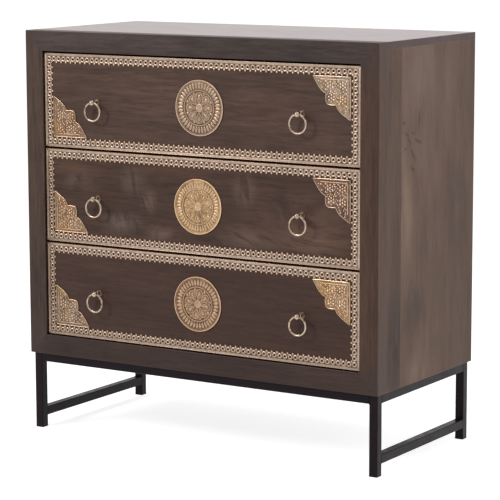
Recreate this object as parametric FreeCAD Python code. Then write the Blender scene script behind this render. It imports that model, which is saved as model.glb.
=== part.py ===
import FreeCAD, Part
import math
import os

# A three-drawer chest: a stained hardwood case with a mitred front frame, drawers trimmed
# with pierced brass strips, corner plates, a medallion and ring pulls, on a welded tube stand.
# Millimetres, +Z up, front towards -Y, origin on the floor under the middle of the whole object.

# Driving dimensions: the case
case_width = 900.0
case_depth = 430.0
case_height = 730.0
case_edge_round = 1.5
frame_width = 45.0
frame_depth = 35.0
side_thickness = 25.0
top_thickness = 16.0
bottom_thickness = 20.0
back_thickness = 6.0
back_rabbet = 8.0
back_screw_diameter = 3.5
back_screw_length = 25.0
back_screw_head_diameter = 7.0
back_screw_spacing = 210.0
back_screw_end_margin = 60.0

# Driving dimensions: the stand
leg_height = 175.0
tube_size = 20.0
tube_wall = 1.5
tube_corner = 2.0
stand_side_inset = 5.0
stand_front_inset = 8.0
stand_rear_inset = 8.0
stretcher_rise = 26.0
foot_flange = 4.0
foot_edge_round = 1.5
foot_insert = 14.0
foot_clearance = 0.1
screw_diameter = 5.0
screw_grip = 15.0
screw_head_diameter = 10.0
screw_head_height = 3.0
screw_clearance = 0.25
screw_access_diameter = 12.0
pilot_clearance = 0.02
screw_from_rail_end = 150.0
screw_from_side_rail_end = 90.0

# Driving dimensions: the drawers, named from the top down
drawer_names = ("top", "middle", "bottom")
drawer_gap = 2.0
drawer_over_gap = 4.0
drawer_recess = 8.0
front_thickness = 20.0
front_edge_round = 0.6
box_inset = 7.0
box_top_drop = 15.0
box_side_thickness = 12.0
box_back_thickness = 12.0
box_back_drop = 10.0
box_bottom_thickness = 6.0
box_rear_room = 18.0
groove_depth = 5.0
groove_rise = 10.0
groove_slack = 0.2

# Driving dimensions: the runners
ledge_thickness = 12.0
ledge_reach = 15.0
ledge_rise = 2.0
guide_height = 25.0
guide_clearance = 1.0
slide_clearance = 0.3

# Driving dimensions: the brass trim
strip_margin = 0.5
strip_width = 18.5
strip_thickness = 1.2
strip_pitch = 13.0
strip_hole_diameter = 4.2
strip_hole_setback = 12.2
picot_width = 6.0
picot_height = 5.0
corner_leg = 87.5
corner_notch_along = 57.5
corner_notch_in = 33.0
corner_side_bulge = 3.3
corner_middle_bulge = 12.0
corner_gap = 0.7
corner_thickness = 1.5
medallion_offsets = (8.0, 3.0, 1.0)
medallion_diameter = 121.0
medallion_thickness = 1.6
medallion_rim_width = 4.0
medallion_rim_rise = 1.4
medallion_ring_diameter = 79.0
medallion_ring_width = 3.0
medallion_ring_rise = 1.0
medallion_boss_diameter = 14.0
medallion_boss_rise = 1.6

# Driving dimensions: the ring pulls
pull_spread = 524.0
pull_reach = 17.5
rosette_diameter = 16.0
rosette_thickness = 2.5
rosette_round = 1.5
neck_diameter = 7.0
ball_diameter = 14.0
ring_outer_diameter = 44.5
ring_wire = 4.5
eye_clearance = 0.3
tail_diameter = 4.0
tail_hole_clearance = 0.25
tail_beyond_nut = 2.0
nut_across_flats = 7.0
nut_thickness = 3.2
nut_clearance = 0.05

# How far a bore starts or ends beyond the face that it opens in
bore_overrun = 1.0

# Places that follow from the driving dimensions
pull_proud = pull_reach + ball_diameter / 2 - drawer_recess
half_width = case_width / 2
front_y = (pull_proud - case_depth) / 2
rear_y = front_y + case_depth
case_z = leg_height
case_top_z = leg_height + case_height
frame_back_y = front_y + frame_depth
side_inner_x = half_width - side_thickness
opening_half = half_width - frame_width
drawer_count = len(drawer_names)
opening_height = case_height - 2 * frame_width
front_height = (opening_height - drawer_gap - drawer_count * drawer_over_gap) / drawer_count
front_half = opening_half - drawer_gap
front_face_y = front_y + drawer_recess
front_rear_y = front_face_y + front_thickness
box_half = front_half - box_inset
box_rear_y = rear_y - back_thickness - box_rear_room
stand_half = half_width - stand_side_inset
stand_front_y = front_y + stand_front_inset
stand_rear_y = rear_y - stand_rear_inset
rail_z = leg_height - tube_size
ring_radius = (ring_outer_diameter - ring_wire) / 2


def vector(x, y, z):
    return FreeCAD.Vector(x, y, z)


def block(low, high):
    """A box between two opposite corners."""
    size = [b - a for a, b in zip(low, high)]
    return Part.makeBox(size[0], size[1], size[2], vector(*low))


def rod(radius, start, end):
    """A cylinder from one point to another."""
    along = end - start
    return Part.makeCylinder(radius, along.Length, start, along)


def prism(points, along):
    """A flat outline of straight sides, drawn out by a vector."""
    return Part.Face(Part.makePolygon(points + points[:1])).extrude(along)


def save(name, *solids):
    shape = solids[0] if len(solids) == 1 else Part.makeCompound(list(solids))
    shape.exportStep(os.path.join("parts", name + ".step"))
    loose = [s for s in shape.Solids if not s.isValid()]
    print(f"{name}: {len(shape.Solids)} solids, {shape.Volume / 1000:.2f} cm3, {len(loose)} not valid")


# The stand's tubes, screws and foot plugs


def tube(start, end):
    """A square tube with round corners, along X, Y or Z."""
    along = end - start
    across = tube_size / 2
    outer = Part.makeBox(tube_size, tube_size, along.Length, vector(-across, -across, 0))
    bore = tube_size - 2 * tube_wall
    inner = Part.makeBox(bore, bore, along.Length, vector(-bore / 2, -bore / 2, 0))
    long_edges = [e for e in outer.Edges if abs(e.tangentAt(e.FirstParameter).z) > 0.9]
    shape = outer.makeFillet(tube_corner, long_edges).cut(inner)
    shape.Placement = FreeCAD.Placement(start, FreeCAD.Rotation(vector(0, 0, 1), along))
    return shape


def leg_places():
    """Each leg's name and the middle of its section."""
    half_tube = tube_size / 2
    columns = (("left", -stand_half + half_tube), ("right", stand_half - half_tube))
    rows = (("front", stand_front_y + half_tube), ("rear", stand_rear_y - half_tube))
    return [(f"{row}_{column}", x, y) for row, y in rows for column, x in columns]


def screw_places():
    """Where the screws go up through the stand's rails into the case."""
    half_tube = tube_size / 2
    across_x = stand_half - tube_size - screw_from_rail_end
    rail_rows = (stand_front_y + half_tube, stand_rear_y - half_tube)
    places = [(x, y) for y in rail_rows for x in (-across_x, across_x)]
    side_y = (
        stand_front_y + tube_size + screw_from_side_rail_end,
        stand_rear_y - tube_size - screw_from_side_rail_end,
    )
    side_x = stand_half - half_tube
    return places + [(x, y) for x in (-side_x, side_x) for y in side_y]


def screw_bores(radius, low_z, high_z):
    return Part.makeCompound(
        [rod(radius, vector(x, y, low_z), vector(x, y, high_z)) for x, y in screw_places()]
    )


def stand_screw(x, y):
    """A screw with its head inside the rail, seated on the upper wall."""
    seat_z = leg_height - tube_wall
    shank = rod(screw_diameter / 2, vector(x, y, seat_z), vector(x, y, leg_height + screw_grip))
    head = rod(screw_head_diameter / 2, vector(x, y, seat_z - screw_head_height), vector(x, y, seat_z))
    return shank.fuse(head).removeSplitter()


def foot_plug(x, y):
    """A plastic plug: a flange as wide as the tube, and a stem pushed into it."""
    across = tube_size / 2
    flange = block((x - across, y - across, 0), (x + across, y + across, foot_flange))
    upper_edges = [e for e in flange.Edges if min(v.Z for v in e.Vertexes) > foot_flange / 2]
    side_and_floor = [e for e in flange.Edges if not any(e.isSame(u) for u in upper_edges)]
    flange = flange.makeFillet(foot_edge_round, side_and_floor)
    stem = across - tube_wall - foot_clearance
    insert = block(
        (x - stem, y - stem, foot_flange), (x + stem, y + stem, foot_flange + foot_insert)
    )
    return flange.fuse(insert).removeSplitter()


def build_stand():
    half_tube = tube_size / 2
    for name, x, y in leg_places():
        save(f"stand_{name}_leg", tube(vector(x, y, foot_flange), vector(x, y, leg_height)))
    shank_radius = screw_diameter / 2 + screw_clearance
    upper_wall_z, lower_wall_z = leg_height - tube_wall, rail_z + tube_wall
    shank_bores = screw_bores(shank_radius, upper_wall_z - bore_overrun, leg_height + bore_overrun)
    access_bores = screw_bores(screw_access_diameter / 2, rail_z - bore_overrun, lower_wall_z + bore_overrun)
    rail_mid_z = rail_z + half_tube
    rail_end = stand_half - tube_size
    for row, y in (("front", stand_front_y + half_tube), ("rear", stand_rear_y - half_tube)):
        rail = tube(vector(-rail_end, y, rail_mid_z), vector(rail_end, y, rail_mid_z))
        save(f"stand_{row}_rail", rail.cut(shank_bores).cut(access_bores))
    low_y, high_y = stand_front_y + tube_size, stand_rear_y - tube_size
    stretcher_z = stretcher_rise + half_tube
    for side, x in (("left", -stand_half + half_tube), ("right", stand_half - half_tube)):
        rail = tube(vector(x, low_y, rail_mid_z), vector(x, high_y, rail_mid_z))
        save(f"stand_{side}_rail", rail.cut(shank_bores).cut(access_bores))
        save(f"stand_{side}_stretcher", tube(vector(x, low_y, stretcher_z), vector(x, high_y, stretcher_z)))
    save("stand_foot_plugs", *[foot_plug(x, y) for _, x, y in leg_places()])
    save("stand_screws", *[stand_screw(x, y) for x, y in screw_places()])


# The case: a mitred front frame with panels behind it


def case_envelope():
    """The outside of the assembled case, with its edges eased."""
    whole = block((-half_width, front_y, case_z), (half_width, rear_y, case_top_z))
    return whole.makeFillet(case_edge_round, whole.Edges)


def front_frame():
    """The frame's four mitred members, each an outline drawn back by the frame's depth."""
    outer, inner = half_width, opening_half
    low, high = case_z, case_top_z
    low_in, high_in = case_z + frame_width, case_top_z - frame_width
    outlines = {
        "top_rail": [(-outer, high), (outer, high), (inner, high_in), (-inner, high_in)],
        "bottom_rail": [(-outer, low), (outer, low), (inner, low_in), (-inner, low_in)],
        "left_stile": [(-outer, low), (-inner, low_in), (-inner, high_in), (-outer, high)],
        "right_stile": [(outer, low), (inner, low_in), (inner, high_in), (outer, high)],
    }
    back = vector(0, frame_depth, 0)
    return {
        name: prism([vector(x, front_y, z) for x, z in outline], back)
        for name, outline in outlines.items()
    }


def case_side(sign):
    low_x, high_x = sorted((sign * side_inner_x, sign * half_width))
    side = block((low_x, frame_back_y, case_z), (high_x, rear_y, case_top_z - top_thickness))
    rabbet_low, rabbet_high = sorted((sign * side_inner_x, sign * (side_inner_x + back_rabbet)))
    rabbet = block(
        (rabbet_low, rear_y - back_thickness, case_z),
        (rabbet_high, rear_y, case_top_z - top_thickness),
    )
    return side.cut(rabbet)


def back_screw_places():
    """Where the back panel is screwed to the sides' rabbets and to the bottom's rear edge."""

    def row(low, high):
        """Even steps between two ends, near the wanted spacing."""
        low, high = low + back_screw_end_margin, high - back_screw_end_margin
        steps = max(1, round((high - low) / back_screw_spacing))
        return [low + k * (high - low) / steps for k in range(steps + 1)]

    edge_x = side_inner_x + back_rabbet / 2
    up_the_sides = [(x, z) for x in (-edge_x, edge_x) for z in row(case_z, case_top_z - top_thickness)]
    along_bottom = [(x, case_z + bottom_thickness / 2) for x in row(-side_inner_x, side_inner_x)]
    return up_the_sides + along_bottom


def back_screw(x, z, clearance=0.0):
    """A countersunk screw, flush with the back panel; with a clearance it is the screw's seat."""
    shank_radius = back_screw_diameter / 2 + clearance
    head_radius = back_screw_head_diameter / 2 + clearance
    head_depth = (back_screw_head_diameter - back_screw_diameter) / 2
    start = vector(x, rear_y, z)
    shank = rod(shank_radius, start, vector(x, rear_y - back_screw_length - clearance, z))
    head = Part.makeCone(head_radius, shank_radius, head_depth, start, vector(0, -1, 0))
    return shank.fuse(head).removeSplitter()


def build_case():
    under_top = case_top_z - top_thickness
    panel_y = rear_y - back_thickness
    pieces = {f"front_frame_{name}": member for name, member in front_frame().items()}
    pieces["case_top"] = block((-half_width, frame_back_y, under_top), (half_width, rear_y, case_top_z))
    pieces["case_left_side"] = case_side(-1)
    pieces["case_right_side"] = case_side(1)
    pieces["case_bottom"] = block(
        (-side_inner_x, frame_back_y, case_z), (side_inner_x, panel_y, case_z + bottom_thickness)
    )
    panel_half = side_inner_x + back_rabbet
    pieces["case_back_panel"] = block((-panel_half, panel_y, case_z), (panel_half, rear_y, under_top))
    envelope = case_envelope()
    pilots = screw_bores(screw_diameter / 2 + pilot_clearance, case_z - bore_overrun, case_z + screw_grip)
    seats = Part.makeCompound([back_screw(x, z, pilot_clearance) for x, z in back_screw_places()])
    for name, piece in pieces.items():
        save(name, piece.common(envelope).cut(pilots).cut(seats))
    save("back_panel_screws", *[back_screw(x, z) for x, z in back_screw_places()])


# The runners that each drawer box slides on


def front_bottom_z(index):
    """The underside of a drawer front, counted from the top drawer."""
    below = drawer_count - 1 - index
    return case_z + frame_width + drawer_gap + below * (front_height + drawer_over_gap)


def box_bottom_z(index):
    return front_bottom_z(index) + ledge_rise + ledge_thickness + slide_clearance


def runner(index, sign):
    """An L-shaped rail on the case side: a ledge under the drawer side and a guide beside it.
    Its nose reaches forward through the frame to stop the drawer front."""
    ledge_top = box_bottom_z(index) - slide_clearance
    ledge_low = ledge_top - ledge_thickness
    nose_y = front_rear_y + slide_clearance
    start_y = max(frame_back_y, nose_y)
    end_y = rear_y - back_thickness
    inner_x = box_half - ledge_reach

    def bar(x_in, x_out, y0, y1, z0, z1):
        low_x, high_x = sorted((sign * x_in, sign * x_out))
        return block((low_x, y0, z0), (high_x, y1, z1))

    shape = bar(inner_x, side_inner_x, start_y, end_y, ledge_low, ledge_top)
    guide_in = box_half + guide_clearance
    shape = shape.fuse(bar(guide_in, side_inner_x, start_y, end_y, ledge_top, ledge_top + guide_height))
    if nose_y < start_y:
        shape = shape.fuse(bar(inner_x, box_half, nose_y, start_y, ledge_low, ledge_top))
    return shape.removeSplitter()


def build_runners():
    for side, sign in (("left", -1), ("right", 1)):
        save(f"{side}_drawer_runners", *[runner(i, sign) for i in range(drawer_count)])


# The drawers: a front and a box with the bottom held in grooves


def pull_places(index):
    """Where the two pulls stand on a drawer front."""
    mid_z = front_bottom_z(index) + front_height / 2
    return [("left", -pull_spread / 2, mid_z), ("right", pull_spread / 2, mid_z)]


def groove_half():
    return box_half - box_side_thickness + groove_depth


def groove_z(index):
    return box_bottom_z(index) + groove_rise


def drawer_front(index):
    low_z = front_bottom_z(index)
    front = block((-front_half, front_face_y, low_z), (front_half, front_rear_y, low_z + front_height))
    middle_y = (front_face_y + front_rear_y) / 2
    face_edges = [e for e in front.Edges if all(v.Y < middle_y for v in e.Vertexes)]
    front = front.makeFillet(front_edge_round, face_edges)
    low, high = groove_z(index), groove_z(index) + box_bottom_thickness + groove_slack
    groove = block(
        (-groove_half(), front_rear_y - groove_depth, low), (groove_half(), front_rear_y, high)
    )
    front = front.cut(groove)
    tail_hole = tail_diameter / 2 + tail_hole_clearance
    for _, x, z in pull_places(index):
        front = front.cut(rod(tail_hole, vector(x, front_face_y, z), vector(x, front_rear_y, z)))
    return front


def drawer_side(index, sign):
    low_x, high_x = sorted((sign * (box_half - box_side_thickness), sign * box_half))
    top_z = front_bottom_z(index) + front_height - box_top_drop
    side = block((low_x, front_rear_y, box_bottom_z(index)), (high_x, box_rear_y, top_z))
    low, high = groove_z(index), groove_z(index) + box_bottom_thickness + groove_slack
    inner_x, floor_x = sign * (box_half - box_side_thickness), sign * groove_half()
    groove_low, groove_high = sorted((inner_x, floor_x))
    return side.cut(block((groove_low, front_rear_y, low), (groove_high, box_rear_y, high)))


def drawer_bottom(index):
    half = groove_half() - groove_slack
    low_y = front_rear_y - groove_depth + groove_slack
    low_z = groove_z(index)
    return block((-half, low_y, low_z), (half, box_rear_y, low_z + box_bottom_thickness))


def drawer_back(index):
    half = box_half - box_side_thickness
    low_z = groove_z(index) + box_bottom_thickness + groove_slack
    top_z = front_bottom_z(index) + front_height - box_top_drop - box_back_drop
    return block((-half, box_rear_y - box_back_thickness, low_z), (half, box_rear_y, top_z))


# The brass trim: pierced strips round each front, corner plates and a medallion


def on_front(outline, thickness):
    """A flat face drawn in X and Z on the drawer front, given its thickness."""
    return outline.extrude(vector(0, -thickness, 0))


def strip_outline(length, place):
    """One strip: mitred ends, a plain outer edge, a row of holes and an inner edge with a small
    round picot between every two holes.  The holes' row starts and ends on the mitres.
    place turns a distance along the strip and a distance in from its outer edge into a point."""
    hole_run = length - 2 * strip_hole_setback
    count = max(3, round(hole_run / strip_pitch))
    pitch = hole_run / count
    edges = []
    here = place(strip_width, strip_width)
    for k in range(1, count - 1):
        middle = strip_hole_setback + (k + 0.5) * pitch
        start = place(middle - picot_width / 2, strip_width)
        end = place(middle + picot_width / 2, strip_width)
        tip = place(middle, strip_width + picot_height)
        edges.append(Part.makeLine(here, start))
        edges.append(Part.Arc(start, tip, end).toShape())
        here = end
    mitre = [(length - strip_width, strip_width), (length, 0), (0, 0), (strip_width, strip_width)]
    for corner in [place(u, v) for u, v in mitre]:
        edges.append(Part.makeLine(here, corner))
        here = corner
    holes = []
    for k in range(1, count):
        centre = place(strip_hole_setback + k * pitch, strip_hole_setback)
        circle = Part.makeCircle(strip_hole_diameter / 2, centre, vector(0, 1, 0))
        holes.append(Part.Wire([circle]))
    return Part.makeFace([Part.Wire(edges)] + holes, "Part::FaceMakerBullseye")


def border_strips(index):
    """The four strips round a drawer front, mitred at the corners."""
    half = front_half - strip_margin
    low = front_bottom_z(index) + strip_margin
    high = front_bottom_z(index) + front_height - strip_margin
    y = front_face_y
    sides = (
        (2 * half, lambda u, v: vector(-half + u, y, low + v)),
        (2 * half, lambda u, v: vector(half - u, y, high - v)),
        (high - low, lambda u, v: vector(-half + v, y, high - u)),
        (high - low, lambda u, v: vector(half - v, y, low + u)),
    )
    return [on_front(strip_outline(length, place), strip_thickness) for length, place in sides]


def bulged_arc(start, end, bulge, away_from):
    """An arc between two points that swells away from a third by the given rise."""
    middle = (start + end) * 0.5
    chord = end - start
    normal = chord.cross(vector(0, 1, 0)).normalize()
    if normal.dot(middle - away_from) < 0:
        normal = normal * -1
    return Part.Arc(start, middle + normal * bulge, end).toShape()


def corner_plate(corner, along_x, along_z):
    """A spandrel with a three-lobed edge, in the angle that the strips make."""

    def at(a, b):
        return vector(corner.x + along_x * a, corner.y, corner.z + along_z * b)

    tip_z, tip_x = at(0, corner_leg), at(corner_leg, 0)
    notch_z, notch_x = at(corner_notch_in, corner_notch_along), at(corner_notch_along, corner_notch_in)
    edges = [
        Part.makeLine(corner, tip_z),
        bulged_arc(tip_z, notch_z, corner_side_bulge, corner),
        bulged_arc(notch_z, notch_x, corner_middle_bulge, corner),
        bulged_arc(notch_x, tip_x, corner_side_bulge, corner),
        Part.makeLine(tip_x, corner),
    ]
    return on_front(Part.Face(Part.Wire(edges)), corner_thickness)


def corner_plates(index):
    """The pair of plates at the lower left and the upper right of a drawer front."""
    inset = strip_margin + strip_width + picot_height + corner_gap
    half = front_half - inset
    low = front_bottom_z(index) + inset
    high = front_bottom_z(index) + front_height - inset
    lower_left = corner_plate(vector(-half, front_face_y, low), 1, 1)
    upper_right = corner_plate(vector(half, front_face_y, high), -1, -1)
    return [lower_left, upper_right]


def medallion(index):
    """A round plate with a raised rim, an inner ring and a boss, turned about its middle."""
    radius = medallion_diameter / 2
    ring_out, ring_in = medallion_ring_diameter / 2, medallion_ring_diameter / 2 - medallion_ring_width
    face = medallion_thickness
    profile = [
        (0, 0),
        (radius, 0),
        (radius, face + medallion_rim_rise),
        (radius - medallion_rim_width, face + medallion_rim_rise),
        (radius - medallion_rim_width, face),
        (ring_out, face),
        (ring_out, face + medallion_ring_rise),
        (ring_in, face + medallion_ring_rise),
        (ring_in, face),
        (medallion_boss_diameter / 2, face),
        (medallion_boss_diameter / 2, face + medallion_boss_rise),
        (0, face + medallion_boss_rise),
    ]
    x = medallion_offsets[index]
    mid_z = front_bottom_z(index) + front_height / 2
    points = [vector(x + r, front_face_y - h, mid_z) for r, h in profile]
    half_section = Part.Face(Part.makePolygon(points + points[:1]))
    return half_section.revolve(vector(x, front_face_y, mid_z), vector(0, 1, 0), 360)


# The ring pulls


def eye_radius():
    """A straight bore through the ball that a curved wire passes with its clearance."""
    ball = ball_diameter / 2
    sag = ring_radius - math.sqrt(ring_radius**2 - ball**2)
    return ring_wire / 2 + sag + eye_clearance


def pull_post(x, z):
    """A turned post: a tail through the front, a rosette, a neck and a bored ball."""
    face = front_face_y
    ball_y = face - pull_reach
    tail_end = front_rear_y + nut_thickness + tail_beyond_nut
    post = rod(tail_diameter / 2, vector(x, face, z), vector(x, tail_end, z))
    rosette = rod(rosette_diameter / 2, vector(x, face, z), vector(x, face - rosette_thickness, z))
    crown_edges = [e for e in rosette.Edges if all(v.Y < face - rosette_round for v in e.Vertexes)]
    rosette = rosette.makeFillet(rosette_round, crown_edges)
    neck = rod(neck_diameter / 2, vector(x, face, z), vector(x, ball_y, z))
    ball = Part.makeSphere(ball_diameter / 2, vector(x, ball_y, z))
    reach = vector(ball_diameter, 0, 0)
    middle = vector(x, ball_y, z)
    eye = rod(eye_radius(), middle - reach, middle + reach)
    return post.fuse([rosette, neck, ball]).cut(eye).removeSplitter()


def pull_ring(x, z):
    """A plain ring hung through the ball's eye."""
    centre = vector(x, front_face_y - pull_reach, z - ring_radius)
    return Part.makeTorus(ring_radius, ring_wire / 2, centre, vector(0, 1, 0))


def pull_nut(x, z):
    across_corners = nut_across_flats / math.cos(math.pi / 6)
    corners = [
        vector(
            x + across_corners / 2 * math.cos(k * math.pi / 3),
            front_rear_y,
            z + across_corners / 2 * math.sin(k * math.pi / 3),
        )
        for k in range(6)
    ]
    nut = prism(corners, vector(0, nut_thickness, 0))
    bore = tail_diameter / 2 + nut_clearance
    return nut.cut(rod(bore, vector(x, front_rear_y, z), vector(x, front_rear_y + nut_thickness, z)))


def build_drawer(index):
    name = drawer_names[index] + "_drawer"
    save(f"{name}_front", drawer_front(index))
    save(f"{name}_left_side", drawer_side(index, -1))
    save(f"{name}_right_side", drawer_side(index, 1))
    save(f"{name}_back", drawer_back(index))
    save(f"{name}_bottom", drawer_bottom(index))
    save(f"{name}_border_strips", *border_strips(index))
    save(f"{name}_corner_plates", *corner_plates(index))
    save(f"{name}_medallion", medallion(index))
    places = pull_places(index)
    save(f"{name}_pull_posts", *[pull_post(x, z) for _, x, z in places])
    save(f"{name}_pull_nuts", *[pull_nut(x, z) for _, x, z in places])
    for side, x, z in places:
        save(f"{name}_{side}_ring", pull_ring(x, z))


os.makedirs("parts", exist_ok=True)
build_case()
build_runners()
build_stand()
for drawer in range(drawer_count):
    build_drawer(drawer)
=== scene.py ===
import math

import bmesh
import bpy
from mathutils import Matrix, Vector
from mathutils.geometry import interpolate_bezier


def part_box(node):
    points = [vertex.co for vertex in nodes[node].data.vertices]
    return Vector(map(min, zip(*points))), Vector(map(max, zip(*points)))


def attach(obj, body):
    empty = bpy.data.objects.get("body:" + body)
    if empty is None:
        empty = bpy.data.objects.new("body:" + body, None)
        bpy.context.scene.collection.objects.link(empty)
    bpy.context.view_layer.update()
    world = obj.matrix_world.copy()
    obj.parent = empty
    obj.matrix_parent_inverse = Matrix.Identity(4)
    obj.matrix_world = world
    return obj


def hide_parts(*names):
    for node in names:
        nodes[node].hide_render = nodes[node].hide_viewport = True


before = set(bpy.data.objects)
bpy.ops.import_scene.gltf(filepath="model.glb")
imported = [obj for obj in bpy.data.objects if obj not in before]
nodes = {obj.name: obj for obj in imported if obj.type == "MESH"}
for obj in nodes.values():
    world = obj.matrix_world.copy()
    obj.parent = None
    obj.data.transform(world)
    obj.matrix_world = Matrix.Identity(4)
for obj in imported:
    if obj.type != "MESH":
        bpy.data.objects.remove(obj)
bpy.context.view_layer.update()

# The front frame: four bars of solid hardwood, 45 mm wide and 35 mm deep, mitred and
# glued at the corners.  They are stained a dark grey brown, rubbed back and waxed, so
# the stain is thinner and paler along the sanded edges; that paleness is painted on the
# eased faces, partly for wear and partly as a painted highlight.  Their faces towards the
# sides carry painted light, and painted shade darkens their nooks.


def new_finish(name):
    """An empty finish: the material, its node tree and its surface shader."""
    material = bpy.data.materials.new(name)
    material.use_nodes = True
    return material, material.node_tree, material.node_tree.nodes["Principled BSDF"]


def put(tree, kind, inputs=(), **settings):
    """Adds a node, and sets or links its inputs."""
    made = tree.nodes.new(kind)
    for key, value in settings.items():
        setattr(made, key, value)
    for key, value in dict(inputs).items():
        if isinstance(value, bpy.types.NodeSocket):
            tree.links.new(value, made.inputs[key])
        else:
            made.inputs[key].default_value = value
    return made


def reckon(tree, operation, *values):
    """Arithmetic on one to three values."""
    return put(tree, "ShaderNodeMath", enumerate(values), operation=operation).outputs[0]


def move(tree, operation, *vectors):
    """Arithmetic on one or two vectors."""
    return put(tree, "ShaderNodeVectorMath", enumerate(vectors), operation=operation).outputs


def spread(tree, value, low, high, first=0.0, last=1.0):
    """Turns low..high into first..last along a soft curve, and holds it outside."""
    inputs = {"Value": value, "From Min": low, "From Max": high, "To Min": first, "To Max": last}
    return put(tree, "ShaderNodeMapRange", inputs, interpolation_type="SMOOTHSTEP").outputs[0]


def tint(tree, share, first, second, way="MIX"):
    """Lays the second colour over the first by a share."""
    inputs = {0: share, 6: first, 7: second}
    return put(tree, "ShaderNodeMix", inputs, data_type="RGBA", blend_type=way).outputs[2]


def noise(tree, field, scale=1.0, detail=4.0, rough=0.55, twist=0.0):
    """Cloudy noise from 0 to 1."""
    inputs = {"Vector": field, "Scale": scale, "Detail": detail, "Roughness": rough, "Distortion": twist}
    return put(tree, "ShaderNodeTexNoise", inputs).outputs["Fac"]


def paint(red, green, blue):
    """A colour given as screen values from 0 to 255."""
    return tuple(((v / 255 + 0.055) / 1.055) ** 2.4 for v in (red, green, blue)) + (1.0,)


def scaled(colour, amount):
    """A colour made darker or lighter."""
    return tuple(amount * c for c in colour[:3]) + (1.0,)


def nearness(tree, place, centre, radii, tilt=(0, 0, 0)):
    """1 at a centre, falling to 0 at the radii round it, which a tilt in degrees turns."""
    inputs = {0: place, "Location": centre, "Rotation": [math.radians(a) for a in tilt], "Scale": radii}
    off = put(tree, "ShaderNodeMapping", inputs, vector_type="TEXTURE").outputs[0]
    return spread(tree, move(tree, "LENGTH", off)["Value"], 0.0, 1.0, 1.0, 0.0)


def surfaced(tree, shader, colour, roughness, relief, strength, depth):
    """Links the colour, the roughness and the fine relief of a finish to its shader."""
    tree.links.new(colour, shader.inputs["Base Color"])
    tree.links.new(roughness, shader.inputs["Roughness"])
    bump = put(tree, "ShaderNodeBump", {"Height": relief, "Strength": strength, "Distance": depth})
    tree.links.new(bump.outputs[0], shader.inputs["Normal"])


def grain_field(tree, place, along, lengthwise, crosswise, seed=0.0):
    """Places stretched for noise with so many turns to the metre along the grain and across it."""
    stretch = [lengthwise if axis == along else crosswise for axis in "XYZ"]
    return move(tree, "ADD", move(tree, "MULTIPLY", place, stretch)[0], [seed] * 3)[0]


def glued_boards(tree, place, axis, joints, tones):
    """The tone of the board at a place, and for each joint a share that is 1 past it."""
    coordinate = put(tree, "ShaderNodeSeparateXYZ", {0: place}).outputs[axis]
    past = [reckon(tree, "GREATER_THAN", coordinate, joint) for joint in joints]
    tone = tones[0]
    for over, before, after in zip(past, tones, tones[1:]):
        tone = reckon(tree, "MULTIPLY_ADD", over, after - before, tone)
    return tone, past


def stain_cloud(tree, place, bent, centre, radii, figure, tilt):
    """A cloud of stain, mottled by a figure of so many turns to the metre, which a tilt turns."""
    inputs = {"Vector": bent, "Rotation": [math.radians(a) for a in tilt]}
    inputs["Scale"] = [1 / turns for turns in figure]
    leaning = put(tree, "ShaderNodeMapping", inputs, vector_type="TEXTURE").outputs[0]
    mottle = spread(tree, noise(tree, leaning, 1.0, 3.0, 0.55, 0.8), 0.3, 0.6)
    return reckon(tree, "MULTIPLY", nearness(tree, place, centre, radii), mottle)


def nook_shade_and_band(tree, place, reach, border):
    """The share of painted shade in each nook within a reach, found by occlusion and standing also for
    waxy dirt gathered there, and that share with a darker band along the inside of a border added.
    """
    open_share = put(tree, "ShaderNodeAmbientOcclusion", {"Distance": reach}, samples=6).outputs["AO"]
    nook_shade_and_wax = spread(tree, open_share, 0.45, 0.96, 0.8, 0.0)
    if not border:
        return nook_shade_and_wax, nook_shade_and_wax
    middle, half = border
    # A darker band along the inside of a border, fading in over a short distance.
    fade, border_band_share = 0.0018, 0.75
    off = move(tree, "ABSOLUTE", move(tree, "SUBTRACT", place, middle)[0])[0]
    beyond = put(tree, "ShaderNodeSeparateXYZ", {0: move(tree, "SUBTRACT", off, half)[0]}).outputs
    farthest = reckon(tree, "MAXIMUM", beyond["X"], beyond["Z"])
    border_band = spread(tree, farthest, 0.0, fade, 0.0, border_band_share)
    return nook_shade_and_wax, reckon(tree, "MAXIMUM", nook_shade_and_wax, border_band)


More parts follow.
